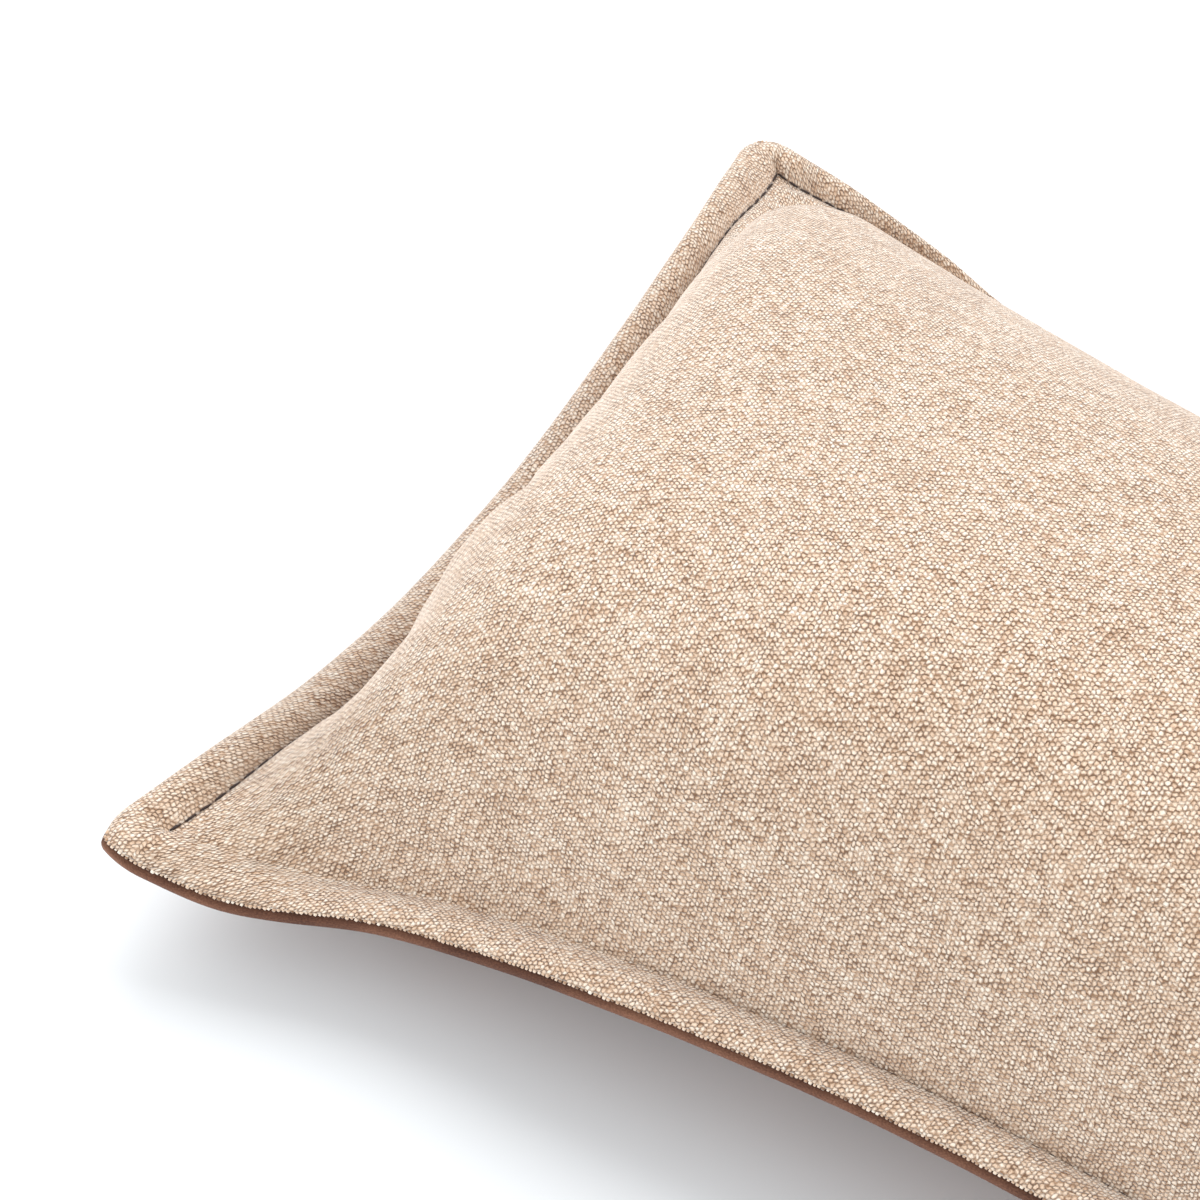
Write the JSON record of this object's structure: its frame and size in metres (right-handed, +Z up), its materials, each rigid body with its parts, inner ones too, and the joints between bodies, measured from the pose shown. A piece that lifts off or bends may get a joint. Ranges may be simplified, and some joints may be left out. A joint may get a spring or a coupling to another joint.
{
  "type": "lumbar pillow",
  "caption": "Filled oblong cushion lying on its back, with a woven front, a suede-like back, drawn-in sides and a stitched flange all round.",
  "frame": {"origin": "on the surface the pillow rests on, under the middle of its bounding box", "axes": "+X along the pillow's length, +Y across its width, +Z up out of the woven front"},
  "size_m": [0.6032, 0.3993, 0.1637],
  "materials": {
    "woven_cloth": "chunky heathered plain weave, matt",
    "suede_cloth": "smooth napped suede, matt"
  },
  "bodies": {
    "root": {"front_panel": "woven_cloth", "back_panel": "suede_cloth"}
  },
  "joints": []
}
